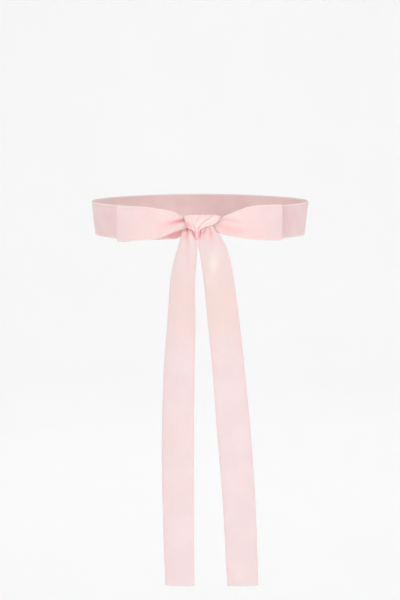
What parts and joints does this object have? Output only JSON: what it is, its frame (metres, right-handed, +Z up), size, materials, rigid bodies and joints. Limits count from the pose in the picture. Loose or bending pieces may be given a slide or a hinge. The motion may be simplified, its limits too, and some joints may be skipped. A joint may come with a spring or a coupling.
{
  "type": "velvet sash",
  "caption": "Narrow velvet ribbon sash in its worn shape: a plain band round an open waist, tied at the back in a flat bow with two long hanging tails.",
  "frame": {"origin": "middle of the waist opening, at half the band's height, where the wearer's waist holds the sash", "axes": "+Z up, +Y towards the plain front of the band, -Y out of the back through the bow, +X to the right of someone who looks at the bow"},
  "size_m": [0.246, 0.2352, 0.4166],
  "materials": {
    "band_velvet": "pale pink velvet with a soft short nap, a little dusty where the light falls across it",
    "bow_velvet": "pale pink velvet with a soft short nap, light where it rounds and rosy in its folds",
    "knot_velvet": "pale pink velvet, gathered tight, with deep rosy creases",
    "tail_velvet": "pale pink velvet that hangs smooth, with narrow woven edges and a turned hem"
  },
  "bodies": {
    "root": {"waist_band": "band_velvet", "bow_loop_left": "bow_velvet", "bow_loop_right": "bow_velvet", "knot_wrap": "knot_velvet", "tail_left": "tail_velvet", "tail_right": "tail_velvet"}
  },
  "joints": []
}
